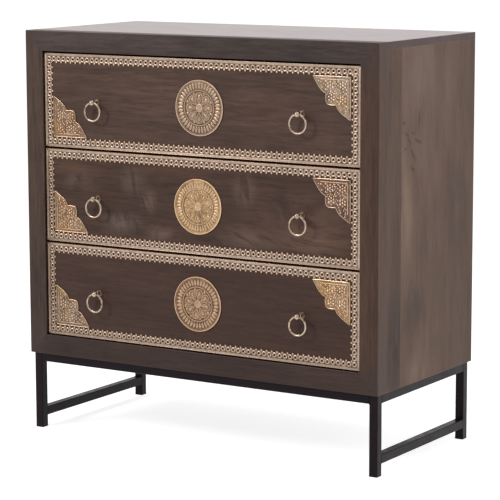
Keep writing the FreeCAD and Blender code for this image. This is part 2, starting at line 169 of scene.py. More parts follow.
def stained_wood(name, along, dark, light, seed, boards=None, knots=(), clouds=(), flecks=(), blotch=0.16,
                 rough=0.46, shine=0.2, polish=0.0, ends=None, shade_reach=0.0, shade_and_wax_colour=None, border=None):
    """Stained and waxed wood: streaks and pores along the grain, clouds of stain, glued boards."""
    material, tree, shader = new_finish(name)
    shader.inputs["Specular IOR Level"].default_value = shine
    place = put(tree, "ShaderNodeTexCoord").outputs["Object"]
    bent = place
    for centre, radii, push in knots:
        inputs = {0: push, "Scale": nearness(tree, place, centre, radii)}
        shove = put(tree, "ShaderNodeVectorMath", inputs, operation="SCALE").outputs[0]
        bent = move(tree, "ADD", bent, shove)[0]
    grain = grain_field(tree, bent, along, 2.4, 24.0, seed)
    blotches = noise(tree, grain_field(tree, place, along, 2.8, 6.72, seed), 1.0, 3.0, 0.5, 0.5)
    shade = spread(tree, blotches, 0.3, 0.7, 1.0 - blotch, 1.0 + blotch)
    if boards:
        axis, joints, tones = boards
        tone, past = glued_boards(tree, place, axis, joints, tones)
        shade = reckon(tree, "MULTIPLY", shade, tone)
        grain_jump = 47.0
        jump = reckon(tree, "MULTIPLY", tone, grain_jump)
        shift = put(tree, "ShaderNodeCombineXYZ", {i: jump for i in range(3)}).outputs[0]
        grain = move(tree, "ADD", grain, shift)[0]
    streaks = noise(tree, grain, 1.0, 6.0, 0.62, 0.4)
    fine = noise(tree, grain, 6.0, 3.0, 0.6)
    pores = spread(tree, noise(tree, grain_field(tree, bent, along, 34.0, 520.0), 1.0, 1.0), 0.58, 0.74)
    share = reckon(tree, "MULTIPLY_ADD", fine, 0.6, reckon(tree, "MULTIPLY", streaks, 0.4))
    colour = tint(tree, spread(tree, share, 0.24, 0.76), dark, light)
    grey = put(tree, "ShaderNodeCombineColor", {i: shade for i in range(3)}).outputs[0]
    colour = tint(tree, 1.0, colour, grey, "MULTIPLY")
    for centre, radii, hue, amount, figure, tilt in clouds:
        cloud = stain_cloud(tree, place, bent, centre, radii, figure, tilt)
        if boards:
            for joint, over in zip(joints, past):
                before = joint < centre["XYZ".index(axis)]
                own_side = over if before else reckon(tree, "SUBTRACT", 1.0, over)
                cloud = reckon(tree, "MULTIPLY", cloud, own_side)
        colour = tint(tree, reckon(tree, "MULTIPLY", cloud, amount), colour, hue)
    fleck_share, fleck_dark = 0.65, scaled(dark, 0.55)
    for centre, radii, tilt in flecks:
        fleck = reckon(tree, "MULTIPLY", nearness(tree, place, centre, radii, tilt), fleck_share)
        colour = tint(tree, fleck, colour, fleck_dark)
    pore_share, pore_dark = 0.4, scaled(dark, 0.4)
    colour = tint(tree, reckon(tree, "MULTIPLY", pores, pore_share), colour, pore_dark)
    # Eased faces are painted paler: partly wear, partly a painted highlight.
    worn_lit_edge = put(tree, "ShaderNodeAttribute", attribute_name="worn_lit_edge").outputs["Fac"]
    worn_lit_edge = reckon(tree, "MULTIPLY", worn_lit_edge, spread(tree, blotches, 0.3, 0.6, 0.15, 0.5))
    worn_lit_edge_colour = scaled(light, 1.9)
    colour = tint(tree, worn_lit_edge, colour, worn_lit_edge_colour)
    # Painted shade with old wax: occluded nooks darken towards a dark brown and lose their shine, and so
    # does the band along a border.
    if shade_reach:
        nook_shade_and_wax, shade_and_band = nook_shade_and_band(tree, place, shade_reach, border)
        colour = tint(tree, shade_and_band, colour, shade_and_wax_colour or scaled(dark, 0.16))
        tree.links.new(spread(tree, shade_and_band, 0.0, 0.9, shine, 0.0), shader.inputs["Specular IOR Level"])
    # Faces square to one axis take their own tones: real end grain on the top, painted light on the frame
    # bars' faces towards the sides, and painted warm light on the drawer fronts' edges in the gaps.
    if ends:
        axis, end_tones = ends
        facing = put(tree, "ShaderNodeNewGeometry").outputs["Normal"]
        facing = put(tree, "ShaderNodeSeparateXYZ", {0: facing}).outputs[axis]
        end_face = spread(tree, reckon(tree, "ABSOLUTE", facing), 0.5, 0.9)
        # With a nook colour given, the tones fall only where there is painted shade, so the fronts' edges
        # in the gaps get a painted warm light.
        if shade_and_wax_colour:
            end_face = reckon(tree, "MULTIPLY", end_face, nook_shade_and_wax)
        shades = {i: spread(tree, end_face, 0.0, 1.0, 1.0, tone) for i, tone in enumerate(end_tones)}
        end_shade = put(tree, "ShaderNodeCombineColor", shades).outputs[0]
        colour = tint(tree, 1.0, colour, end_shade, "MULTIPLY")
        if polish:
            tree.links.new(spread(tree, end_face, 0.0, 1.0, polish, 0.0), shader.inputs["Coat Weight"])
            shader.inputs["Coat Roughness"].default_value = 0.3
    roughness = spread(tree, fine, 0.3, 0.7, rough - 0.05, rough + 0.07)
    relief = reckon(tree, "MULTIPLY_ADD", pores, -1.0, reckon(tree, "MULTIPLY", fine, 0.5))
    surfaced(tree, shader, colour, roughness, relief, 0.2, 0.0004)
    return material


def fitted(piece, body, slot, material, *replaced):
    """Gives a new piece its finish, the body that it moves with and the nodes that it stands for."""
    piece.data.materials.clear()
    piece.data.materials.append(material)
    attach(piece, body)
    if replaced:
        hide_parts(*replaced)


def slanted(face):
    """Whether a face lies square to none of the axes."""
    return max(abs(c) for c in face.normal) < 0.98


def planed(name, body, slot, material, ease):
    """A board copied from its node, with its sharp edges eased, and its eased faces marked to be painted
    paler, for wear and a painted highlight.
    """
    board = bpy.data.objects.new(name + "_board", nodes[name].data.copy())
    bpy.context.scene.collection.objects.link(board)
    bpy.ops.object.select_all(action="DESELECT")
    board.select_set(True)
    bpy.context.view_layer.objects.active = board
    bpy.ops.mesh.customdata_custom_splitnormals_clear()
    bpy.ops.object.shade_flat()
    bpy.ops.object.mode_set(mode="EDIT")
    bpy.ops.mesh.select_mode(type="EDGE")
    bpy.ops.mesh.select_all(action="SELECT")
    bpy.ops.mesh.remove_doubles(threshold=0.00002)
    bpy.ops.mesh.dissolve_limited(angle_limit=math.radians(0.5))
    bpy.ops.mesh.select_all(action="DESELECT")
    bpy.ops.mesh.edges_select_sharp(sharpness=math.radians(40))
    mesh = bmesh.from_edit_mesh(board.data)
    for edge in mesh.edges:
        if edge.calc_length() < 10 * ease or any(slanted(face) for face in edge.link_faces):
            edge.select_set(False)
    bmesh.update_edit_mesh(board.data)
    bpy.ops.mesh.bevel(offset=ease, segments=2, affect="EDGES")
    bpy.ops.object.mode_set(mode="OBJECT")
    # Marks the eased faces to be painted paler, for wear and a painted highlight.
    worn_lit_edge = board.data.attributes.new("worn_lit_edge", "FLOAT", "FACE")
    for face in board.data.polygons:
        worn_lit_edge.data[face.index].value = float(slanted(face))
    fitted(board, body, slot, material, name)


# The reach of the painted shade in the frame's nooks, and the tones of the painted light on the bars'
# faces towards the sides.
bar_ease, bar_shade_reach, bar_side_light = 0.0008, 0.008, (1.38, 1.46, 1.56)
bars = {
    "front_frame_top_rail": ("X", paint(50, 40, 37), paint(80, 66, 62), 3.1),
    "front_frame_bottom_rail": ("X", paint(43, 30, 26), paint(71, 53, 47), 8.4),
    "front_frame_left_stile": ("Z", paint(48, 35, 29), paint(86, 67, 57), 1.7),
    "front_frame_right_stile": ("Z", paint(57, 41, 33), paint(87, 63, 52), 5.2),
}
no_tilt, through = (0, 0, 0), 0.1
stile_low, stile_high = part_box("front_frame_right_stile")
corner_stains = [((x, stile_low.y, z), (0.08, through, 0.12), paint(64, 52, 47), 0.9, (20, 1, 9), no_tilt)
                 for x in (stile_high.x, -stile_high.x) for z in (stile_low.z, stile_high.z)]
for bar, (along, dark, light, seed) in bars.items():
    wood = stained_wood(bar + "_wood", along, dark, light, seed, clouds=corner_stains,
                        ends=("X", bar_side_light), shade_reach=bar_shade_reach)
    planed(bar, "case", "case_wood", wood, bar_ease)

# The case behind the frame: a top laid over two sides, glued up from hardwood boards of
# different tone, and a plain bottom between them, all stained like the frame.  The back
# is thin plywood let into rabbets and held by countersunk screws.
front_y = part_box("front_frame_left_stile")[0].y
case_top_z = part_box("case_top")[1].z
side_joints = [front_y + back for back in (0.095, 0.238, 0.405)]
side_tones = (0.82, 1.10, 1.0, 0.88)
side_dark, side_light = paint(86, 68, 59), paint(118, 96, 83)
side_clouds = [
    (0.118, 0.355, 0.075, 0.20, paint(150, 127, 110), 0.65, (9, 14, 2)),
    (0.180, 0.080, 0.140, 0.14, paint(132, 115, 106), 0.55, (9, 16, 4)),
    (0.170, 0.230, 0.110, 0.08, paint(124, 108, 96), 0.5, (9, 40, 6)),
    (0.205, 0.430, 0.050, 0.16, paint(82, 67, 59), 0.6, (9, 14, 5)),
    (0.160, 0.570, 0.080, 0.09, paint(72, 60, 54), 0.7, (9, 16, 7)),
    (0.165, 0.710, 0.090, 0.06, paint(140, 117, 102), 0.6, (9, 30, 8)),
    (0.070, 0.640, 0.070, 0.16, paint(50, 40, 38), 0.9, (9, 12, 4)),
    (0.262, 0.290, 0.045, 0.09, paint(128, 104, 90), 0.6, (9, 20, 5)),
    (0.258, 0.430, 0.030, 0.10, paint(126, 98, 92), 0.6, (9, 40, 5)),
    (0.340, 0.380, 0.090, 0.15, paint(80, 65, 61), 0.6, (9, 16, 7)),
    (0.275, 0.100, 0.090, 0.14, paint(130, 112, 102), 0.5, (9, 20, 4)),
]
knot_back, knot_down, knot_push = 0.135, 0.215, (0, 0.02, 0)
knot_flecks = [
    (0.173, 0.167, 0.0054, 0.0230, 0),
    (0.169, 0.215, 0.0270, 0.0062, -18),
    (0.148, 0.243, 0.0330, 0.0062, -51),
    (0.144, 0.271, 0.0170, 0.0066, -24),
    (0.118, 0.197, 0.0140, 0.0056, -35),
    (0.106, 0.172, 0.0140, 0.0056, -4),
    (0.130, 0.212, 0.0190, 0.0052, -44),
    (0.146, 0.196, 0.0120, 0.0044, -30),
    (0.112, 0.226, 0.0110, 0.0044, 10),
]
for side, seed in (("left", 12.0), ("right", 17.3)):
    name = "case_" + side + "_side"
    face_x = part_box(name)[0].x if side == "left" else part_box(name)[1].x
    clouds = [((face_x, front_y + back, case_top_z - down), (through, wide, tall), *rest, no_tilt)
              for back, down, wide, tall, *rest in side_clouds]
    flecks = [((face_x, front_y + back, case_top_z - down), (through, wide, tall), (tilt, 0, 0))
              for back, down, wide, tall, tilt in knot_flecks if side == "right"]
    knot = ((face_x, front_y + knot_back, case_top_z - knot_down), (through, 0.05, 0.11), knot_push)
    wood = stained_wood(name + "_wood", "Z", side_dark, side_light, seed, ("Y", side_joints, side_tones),
                        [knot], clouds, flecks, blotch=0.12, shine=0.1)
    planed(name, "case", "case_wood", wood, bar_ease / 2)
top_joints = [front_y + back for back in (0.14, 0.27, 0.36)]
top_tones, top_end_tones = (1.0, 0.9, 1.08, 0.96), (0.62, 0.62, 0.65)
top_wood = stained_wood("case_top_wood", "X", paint(66, 48, 45), paint(110, 85, 80), 21.0,
                        ("Y", top_joints, top_tones), rough=0.34, polish=0.6, ends=("X", top_end_tones))
haze = top_wood.node_tree.nodes["Principled BSDF"].inputs
haze["Sheen Weight"].default_value = 0.12
haze["Sheen Tint"].default_value = (1.0, 0.8, 0.84, 1.0)
planed("case_top", "case", "case_wood", top_wood, bar_ease)
floor_wood = stained_wood("case_bottom_wood", "X", paint(60, 47, 41), paint(98, 78, 68), 26.0)
planed("case_bottom", "case", "case_wood", floor_wood, bar_ease)
plywood = stained_wood("back_plywood", "Z", paint(112, 84, 62), paint(160, 126, 96), 31.0,
                       blotch=0.1, rough=0.62)
ply_ease = 0.0003
planed("case_back_panel", "case", "back_board", plywood, ply_ease)


def zinc_plate(name, bright, darker_spots):
    """Zinc plate with a cloudy surface."""
    material, tree, shader = new_finish(name)
    cloud = noise(tree, put(tree, "ShaderNodeTexCoord").outputs["Object"], 240.0, 3.0)
    tree.links.new(tint(tree, spread(tree, cloud, 0.35, 0.65), bright, darker_spots), shader.inputs["Base Color"])
    tree.links.new(spread(tree, cloud, 0.3, 0.7, 0.3, 0.45), shader.inputs["Roughness"])
    shader.inputs["Metallic"].default_value = 1.0
    return material


zinc = zinc_plate("zinc_plate", paint(196, 194, 186), paint(150, 146, 134))
nodes["back_panel_screws"].data.materials[0] = zinc

# The drawer runners: three L-shaped strips of pale wood a side, fixed to the case sides,
# that the drawer boxes slide on.


def pale_wood(name, along, seed):
    """Unstained wood for the pieces that stay inside."""
    dark, light = paint(150, 116, 82), paint(196, 162, 122)
    return stained_wood(name, along, dark, light, seed, blotch=0.08, rough=0.6)


inside_ease = 0.0008
runner_wood = pale_wood("runner_wood", "Y", 36.0)
for side in ("left", "right"):
    planed(side + "_drawer_runners", "case", "box_wood", runner_wood, inside_ease)

# The stand: 20 mm square steel tube, cut square and welded into two end frames joined by
# rails at the front and back, then powder coated a satin black.  The welds are left as
# run, and each leg stands on a black plastic plug.


def start(kind, **size):
    """Adds a primitive as the start of a piece, with nothing else selected."""
    bpy.ops.object.select_all(action="DESELECT")
    getattr(bpy.ops.mesh, "primitive_" + kind + "_add")(**size)
    bpy.ops.object.transform_apply()
    bpy.ops.object.mode_set(mode="EDIT")
    bpy.ops.mesh.select_all(action="SELECT")
    return bpy.context.object


def drawn(sides, profile, hollow=False):
    """A turned shape facing the front: a circle drawn out through steps of radius and height."""
    radius, height = profile[0]
    piece = start("circle", vertices=sides, radius=radius, location=(0, -height, 0),
                  rotation=(math.radians(90), 0, 0), fill_type="NOTHING" if hollow else "NGON")
    for wider, higher in profile[1:]:
        bpy.ops.mesh.extrude_region_move(TRANSFORM_OT_translate={"value": (0, height - higher, 0)})
        grow = wider / radius
        bpy.ops.transform.resize(value=(grow, 1, grow), center_override=(0, -higher, 0))
        radius, height = wider, higher
    if hollow:
        bpy.ops.mesh.select_all(action="DESELECT")
        bpy.ops.mesh.select_mode(type="EDGE")
        bpy.ops.mesh.select_non_manifold()
        bpy.ops.mesh.bridge_edge_loops()
    bpy.ops.mesh.select_all(action="SELECT")
    bpy.ops.mesh.normals_make_consistent(inside=False)
    bpy.ops.object.mode_set(mode="OBJECT")
    return piece


def laid(piece, place, name="copy"):
    """A copy of a piece, with its own mesh, laid by a matrix."""
    copy = bpy.data.objects.new(name, piece.data.copy())
    copy.data.name = name
    copy.data.transform(place)
    bpy.context.scene.collection.objects.link(copy)
    return copy


def gathered(name, pieces, angle=35.0):
    """Several pieces joined into one, and shaded smooth over its gentle edges."""
    bpy.ops.object.select_all(action="DESELECT")
    for piece in pieces:
        piece.select_set(True)
    bpy.context.view_layer.objects.active = pieces[0]
    bpy.ops.object.join()
    bpy.ops.object.shade_smooth_by_angle(angle=math.radians(angle))
    made = bpy.context.object
    made.name = made.data.name = name
    return made


def put_away(*patterns):
    """Removes pieces that were only there to be copied."""
    for pattern in patterns:
        bpy.data.objects.remove(pattern)


def coat(name, colour, worn, rough):
    """Satin paint or plastic with a fine orange peel and faint scuffs."""
    material, tree, shader = new_finish(name)
    place = put(tree, "ShaderNodeTexCoord").outputs["Object"]
    scuffs = noise(tree, place, 35.0, 5.0, 0.65)
    peel = noise(tree, place, 900.0, 2.0)
    shader.inputs["Specular IOR Level"].default_value = 0.14
    shader.inputs["Specular Tint"].default_value = (1.0, 0.82, 0.92, 1.0)
    scuffed = tint(tree, spread(tree, scuffs, 0.52, 0.72), colour, worn)
    roughness = spread(tree, scuffs, 0.3, 0.7, rough - 0.06, rough + 0.1)
    surfaced(tree, shader, scuffed, roughness, peel, 0.15, 0.0003)
    return material


black_coat = coat("satin_black_coat", paint(14, 7, 11), paint(27, 18, 23), 0.34)
tubes = [f"stand_{end}_{side}_leg" for end in ("front", "rear") for side in ("left", "right")]
tubes += [f"stand_{place}_rail" for place in ("front", "rear", "left", "right")]
tubes += ["stand_left_stretcher", "stand_right_stretcher"]
for tube in tubes:
    nodes[tube].data.materials[0] = black_coat
black_plastic = coat("black_plastic", paint(26, 26, 27), paint(40, 40, 41), 0.55)
nodes["stand_foot_plugs"].data.materials[0] = black_plastic
nodes["stand_screws"].data.materials[0] = zinc

weld_length, weld_radius, weld_waist, ripples = 0.0175, 0.0021, 0.55, 9
weld = drawn(8, [(weld_radius * (weld_waist, 1.0)[i % 2], weld_length * (i / (2 * ripples) - 0.5))
                 for i in range(2 * ripples + 1)])
quarter_turn = Matrix.Rotation(math.radians(90), 4, "Z")
welds = []
for end in ("front", "rear"):
    for side in ("left", "right"):
        leg_low, leg_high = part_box(f"stand_{end}_{side}_leg")
        middle = (leg_low + leg_high) / 2
        rail_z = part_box(f"stand_{end}_rail")[0].z
        inner_x = leg_high.x if side == "left" else leg_low.x
        inner_y = leg_high.y if end == "front" else leg_low.y
        bar_low, bar_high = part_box(f"stand_{side}_stretcher")
        welds.append(laid(weld, Matrix.Translation((inner_x, middle.y, rail_z))))
        for z in (rail_z, bar_low.z, bar_high.z):
            welds.append(laid(weld, Matrix.Translation((middle.x, inner_y, z)) @ quarter_turn))
put_away(weld)
fitted(gathered("stand_weld_beads", welds, 60), "case", "black_steel", black_coat)

# The drawer fronts: one wide hardwood board each, its grain running across.  The stain took
# differently on each: greyish on the top one, smoky with curled grain on the middle one,
# even and redder on the bottom one.  Painted shade with old brown wax darkens the nooks,
# a darker brown band runs along the inside of the brass, and the top and bottom edges in
# the gaps carry a painted warm light.
drawers = ("top", "middle", "bottom")
fronts = {drawer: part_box(drawer + "_drawer_front") for drawer in drawers}
face_y = fronts["top"][0].y
middle_z = {drawer: (low.z + high.z) / 2 for drawer, (low, high) in fronts.items()}
# The reach of the painted shade in the fronts' nooks, and the tones of the painted warm light on their top
# and bottom edges in the gaps.
front_ease, front_shade_reach, front_gap_edge_light = 0.0012, 0.005, (3.2, 1.85, 0.7)
front_finish = {
    "top": (paint(58, 41, 34), paint(91, 69, 59), 41.0, 0.13),
    "middle": (paint(49, 33, 27), paint(80, 58, 48), 47.0, 0.14),
    "bottom": (paint(54, 36, 30), paint(76, 54, 45), 53.0, 0.06),
}
smoky_z = middle_z["middle"]
curls = [((0.30, face_y, smoky_z - 0.03), (0.16, through, 0.07), (0, 0, 0.028)),
         ((-0.12, face_y, smoky_z + 0.02), (0.2, through, 0.06), (0, 0, 0.012))]
smoke = [
    (-0.320, 0.066, 0.110, 0.026, paint(108, 78, 60), 0.4, (8, 1, 40), 0),
    (-0.310, 0.034, 0.065, 0.036, paint(108, 90, 81), 0.55, (22, 1, 12), 10),
    (-0.170, 0.044, 0.060, 0.050, paint(106, 87, 80), 0.5, (60, 1, 10), -12),
    (-0.200, -0.050, 0.080, 0.034, paint(118, 101, 93), 0.55, (40, 1, 14), -15),
    (-0.125, 0.002, 0.030, 0.040, paint(118, 94, 88), 0.5, (70, 1, 12), -15),
    (-0.095, -0.066, 0.060, 0.026, paint(122, 98, 90), 0.55, (26, 1, 20), 35),
    (-0.070, 0.074, 0.120, 0.014, paint(104, 68, 52), 0.4, (6, 1, 60), 0),
    (0.120, 0.040, 0.045, 0.055, paint(114, 94, 86), 0.55, (50, 1, 8), -14),
    (0.135, -0.060, 0.120, 0.040, paint(118, 97, 85), 0.55, (40, 1, 9), -62),
    (0.270, -0.010, 0.220, 0.090, paint(106, 81, 68), 0.6, (8, 1, 46), 0),
    (0.290, -0.055, 0.140, 0.050, paint(122, 94, 78), 0.6, (12, 1, 80), 12),
    (0.215, 0.010, 0.060, 0.060, paint(46, 32, 26), 0.7, (20, 1, 16), 0),
]
smoke_clouds = [((x, face_y, smoky_z + up), (wide, through, tall), hue, amount, figure, (0, lean, 0))
                for x, up, wide, tall, hue, amount, figure, lean in smoke]
border_low, border_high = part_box("top_drawer_border_strips")
border_size = border_high - border_low
# The brown of the painted shade and old wax in the fronts' nooks, and of the band along the brass.
covered, shade_and_wax_brown = 0.0224, paint(84, 56, 38)
bare_half = [size / 2 - covered for size in border_size]
for drawer, (dark, light, seed, blotch) in front_finish.items():
    figured = {"knots": curls, "clouds": smoke_clouds} if drawer == "middle" else {}
    wood = stained_wood(drawer + "_front_wood", "X", dark, light, seed, blotch=blotch,
                        ends=("Z", front_gap_edge_light), shade_reach=front_shade_reach, shade_and_wax_colour=shade_and_wax_brown,
                        border=((0, face_y, middle_z[drawer]), bare_half), **figured)
    planed(drawer + "_drawer_front", drawer + "_drawer", "drawer_wood", wood, front_ease)

# The drawer boxes: unstained sides and back of pale wood, glued behind the front, round a
# thin plywood bottom held in grooves.
side_wood, back_wood = pale_wood("box_side_wood", "Y", 61.0), pale_wood("box_back_wood", "X", 66.0)
bottom_ply = stained_wood("box_bottom_plywood", "X", paint(160, 128, 94), paint(200, 168, 130), 71.0,
                          blotch=0.06, rough=0.6)
box_woods = {"left_side": side_wood, "right_side": side_wood, "back": back_wood, "bottom": bottom_ply}
for drawer in drawers:
    for part, wood in box_woods.items():
        planed(f"{drawer}_drawer_{part}", drawer + "_drawer", "box_wood", wood, inside_ease)

# The brass borders: four strips of thin sheet to a drawer, pressed with a plain outer
# band, a row of rings and a fringe of picots, mitred at the corners and pinned on.
# They are browned, then rubbed so that only the raised work is bright.


def choose(piece, test):
    """Selects, in edit mode, the vertices whose place passes a test."""
    bpy.ops.mesh.select_mode(type="VERT")
    mesh = bmesh.from_edit_mesh(piece.data)
    for vertex in mesh.verts:
        vertex.select_set(bool(test(vertex.co)))
    mesh.select_flush_mode()
    bmesh.update_edit_mesh(piece.data)


def above_face(tree, place):
    """How far a place stands out from the drawer faces."""
    return reckon(tree, "SUBTRACT", face_y, put(tree, "ShaderNodeSeparateXYZ", {0: place}).outputs["Y"])


def antique_brass(name, bright, brown, low, high, golden=0.0, worn=0.9, darker_spots=(), crest=None):
    """Browned brass, worn bright where its relief rises from low to high above the drawer face."""
    material, tree, shader = new_finish(name)
    place = put(tree, "ShaderNodeTexCoord").outputs["Object"]
    height = above_face(tree, place)
    stains = reckon(tree, "SUBTRACT", noise(tree, place, 45.0, 4.0, 0.6), 0.5)
    shown = spread(tree, reckon(tree, "MULTIPLY_ADD", stains, worn * (high - low), height), low, high)
    patches = spread(tree, noise(tree, place, 22.0, 2.0), 0.42, 0.66, 0.0, golden)
    gold = [c * warm for c, warm in zip(bright, (1.0, 0.9, 0.7, 1.0))]
    colour = tint(tree, shown, brown, tint(tree, patches, bright, gold))
    specks = noise(tree, place, 420.0, 2.0, 0.6)
    speck_share, darker_share = 0.3, 0.38
    speckled = reckon(tree, "MULTIPLY", spread(tree, specks, 0.45, 0.7), speck_share)
    colour = tint(tree, speckled, colour, brown)
    if crest:
        crest_depth, polished = 0.0002, scaled(bright, 1.4)
        colour = tint(tree, spread(tree, height, crest - crest_depth, crest), colour, polished)
    # Spots made browner and darker: here the left ends of the middle and bottom strips.
    for centre, radii in darker_spots:
        brown_share = reckon(tree, "MULTIPLY", nearness(tree, place, centre, radii), darker_share)
        colour = tint(tree, brown_share, colour, brown)
    hollow_reach, hollow_brown = 0.0016, scaled(brown, 0.42)
    inputs = {"Distance": hollow_reach}
    open_share = put(tree, "ShaderNodeAmbientOcclusion", inputs, samples=6).outputs["AO"]
    colour = tint(tree, spread(tree, open_share, 0.25, 0.85, 0.85, 0.0), colour, hollow_brown)
    shader.inputs["Metallic"].default_value = 1.0
    surfaced(tree, shader, colour, spread(tree, shown, 0.0, 1.0, 0.62, 0.40), specks, 0.25, 0.0003)
    return material


def slat(length, outer, inner, thickness, ease):
    """A flat slat along X with mitred ends, its edges at the heights outer and inner."""
    piece = start("plane", size=1.0, rotation=(math.radians(90), 0, 0))
    bpy.ops.transform.resize(value=(length - 2 * outer, 1, inner - outer), center_override=(0, 0, 0))
    bpy.ops.transform.translate(value=(0, 0, (inner + outer) / 2))
    choose(piece, lambda v: v.z > (inner + outer) / 2)
    shorter = (length - 2 * inner) / (length - 2 * outer)
    bpy.ops.transform.resize(value=(shorter, 1, 1), center_override=(0, 0, inner))
    bpy.ops.mesh.select_all(action="SELECT")
    bpy.ops.mesh.extrude_region_move(TRANSFORM_OT_translate={"value": (0, -thickness, 0)})
    bpy.ops.mesh.bevel(offset=ease, segments=2, affect="EDGES")
    bpy.ops.mesh.select_all(action="SELECT")
    bpy.ops.mesh.normals_make_consistent(inside=False)
    bpy.ops.object.mode_set(mode="OBJECT")
    return piece


def row(piece, count, pitch, height):
    """A piece repeated along X about the middle, at a height up the strip."""
    line = laid(piece, Matrix.Translation((-pitch * (count - 1) / 2, 0, height)))
    array = line.modifiers.new("row", "ARRAY")
    array.count = count
    array.use_relative_offset = False
    array.use_constant_offset = True
    array.constant_offset_displace = (pitch, 0, 0)
    bpy.context.view_layer.objects.active = line
    bpy.ops.object.modifier_apply(modifier="row")
    return line


def cut_sheet(thickness, *outlines):
    """A flat sheet standing in X and Z: the first outline, with the others cut out of it."""
    bpy.ops.object.select_all(action="DESELECT")
    bpy.ops.curve.primitive_bezier_circle_add(rotation=(math.radians(90), 0, 0))
    drawing = bpy.context.object
    drawing.data.splines.remove(drawing.data.splines[0])
    drawing.data.dimensions = "2D"
    drawing.data.fill_mode = "BOTH"
    drawing.data.extrude = thickness / 2
    for outline in outlines:
        spline = drawing.data.splines.new("POLY")
        spline.points.add(len(outline) - 1)
        for point, (x, z) in zip(spline.points, outline):
            point.co = (x, z, 0, 1)
        spline.use_cyclic_u = True
    bpy.ops.object.convert(target="MESH")
    bpy.ops.object.transform_apply()
    drawing.data.transform(Matrix.Translation((0, -thickness / 2, 0)))
    return drawing


edge_width, edge_thick, edge_ease = 0.0019, 0.0015, 0.0005
band_width, band_thick, band_ease = 0.0052, 0.0010, 0.0004
sheet_width, sheet_thick = 0.0182, 0.0007
ring_line, ring_pitch, ring_hole, ring_sides = 0.0122, 0.0130, 0.0025, 12
slit_low, slit_high, slit_half, tab_half, tab_rise = 0.0063, 0.0100, 0.0021, 0.0027, 0.0014
rings_to_a_pin = 7
ring = drawn(ring_sides, [(0.0061, 0.0004), (0.0054, 0.0012), (0.0042, 0.0016), (0.0030, 0.0012),
                          (ring_hole, 0.0002)], True)
picot = drawn(8, [(0.0025, 0.0002), (0.0022, 0.0010), (0.0010, 0.0014)])
pin = drawn(8, [(0.0013, 0.0010), (0.0011, 0.0016), (0.0005, 0.0019)])


def hole_round(x, z):
    """The outline of the hole in a ring."""
    turns = [2 * math.pi * k / ring_sides for k in range(ring_sides)]
    return [(x + ring_hole * math.sin(a), z + ring_hole * math.cos(a)) for a in turns]


def border_strip(length):
    """One strip along X with its outer edge at height 0, without the squares at its corners."""
    count = round((length - 2 * ring_line) / ring_pitch)
    pitch = (length - 2 * ring_line) / count
    half, tab = pitch / 2, pitch / 2 - tab_half
    right = [(half, 0), (half, slit_low), (half - slit_half, slit_low), (half, slit_high),
             (half, sheet_width + tab_rise), (tab, sheet_width + tab_rise), (tab, sheet_width)]
    cell = cut_sheet(sheet_thick, right + [(-x, z) for x, z in reversed(right)], hole_round(0, ring_line))
    strip = gathered("strip", [
        row(cell, count - 1, pitch, 0.0),
        slat(length, 0.0, band_width, band_thick, band_ease),
        slat(length, 0.0, edge_width, edge_thick, edge_ease),
        row(ring, count - 1, pitch, ring_line),
        row(picot, count - 2, pitch, sheet_width + tab_rise),
        row(pin, count // rings_to_a_pin, rings_to_a_pin * pitch, band_width / 2),
    ])
    put_away(cell)
    return strip, ring_line + half


half_x, half_z = border_size.x / 2, border_size.z / 2
long_strip, long_end = border_strip(border_size.x)
short_strip, short_end = border_strip(border_size.z)
square = [(0, 0), (long_end, 0), (long_end, short_end), (0, short_end)]
corner = gathered("corner", [cut_sheet(sheet_thick, square, hole_round(ring_line, ring_line)),
                             laid(ring, Matrix.Translation((ring_line, 0, ring_line))),
                             laid(picot, Matrix.Translation((long_end, 0, short_end)))])
sides = [(long_strip, 0, (0, 0, -half_z)), (long_strip, 180, (0, 0, half_z)),
         (short_strip, 90, (-half_x, 0, 0)), (short_strip, -90, (half_x, 0, 0)),
         (corner, 0, (-half_x, 0, -half_z)), (corner, 180, (half_x, 0, half_z))]
around = [laid(strip, Matrix.Translation(place) @ Matrix.Rotation(math.radians(angle), 4, "Y"))
          for strip, angle, place in sides]
mirrored_corners = [laid(piece, Matrix.Scale(-1, 4, (1, 0, 0))) for piece in around[-2:]]
for piece in mirrored_corners:
    piece.data.flip_normals()
border = gathered("border", around + mirrored_corners)
# The left ends of the middle and bottom drawers' strips are made browner and darker.
darker_reach = (0.06, through, 0.16)
darker_left_ends = [((-half_x, face_y, middle_z[drawer]), darker_reach) for drawer in ("middle", "bottom")]
strip_brass = antique_brass("strip_brass", paint(184, 162, 144), paint(90, 70, 57), 0.0003, 0.0013,
                            darker_spots=darker_left_ends)
for drawer in drawers:
    place = Matrix.Translation((0, face_y, middle_z[drawer]))
    piece = laid(border, place, drawer + "_drawer_brass_border")
    fitted(piece, drawer + "_drawer", "brass_trim", strip_brass, drawer + "_drawer_border_strips")
put_away(ring, picot, pin, long_strip, short_strip, corner, border)

# The corner plates: cusped brass spandrels at the lower left and upper right of each
# drawer, cast with a raised rim, a line along both legs, and flowers, leaves and buds on
# a sunk ground.  They are fixed inside the border, and each has browned in its own way.


